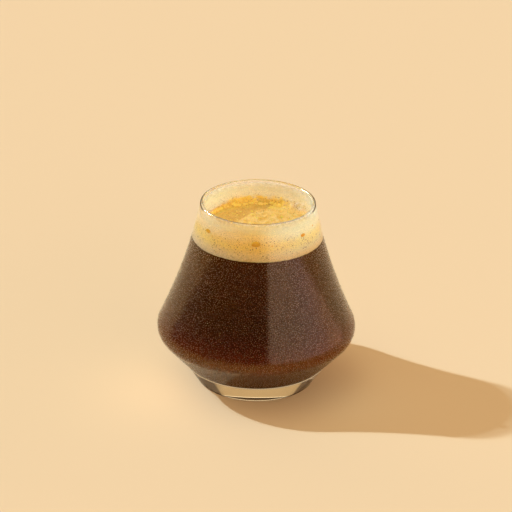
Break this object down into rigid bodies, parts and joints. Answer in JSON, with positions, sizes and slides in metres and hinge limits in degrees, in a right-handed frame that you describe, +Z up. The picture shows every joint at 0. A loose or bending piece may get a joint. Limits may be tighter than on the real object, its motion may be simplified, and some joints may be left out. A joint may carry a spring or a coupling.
{
  "type": "iced americano in a glass",
  "caption": "Cold black coffee with a thick foam head in a clear tumbler with a low wide shoulder, a narrow mouth and a thick foot.",
  "frame": {"origin": "centre of the underside of the foot", "axes": "+Z up along the axis that the glass is turned about; the glass is round, so +X and +Y are free, and -Y faces the viewer in the picture"},
  "size_m": [0.098, 0.098, 0.0944],
  "materials": {
    "glass": "clear, smooth, lightly misted with fine condensation",
    "coffee": "dark brown liquid, amber where it is thin",
    "foam": "fine golden foam, matte"
  },
  "bodies": {
    "root": {"glass": "glass", "coffee": "coffee", "foam": "foam"}
  },
  "joints": []
}
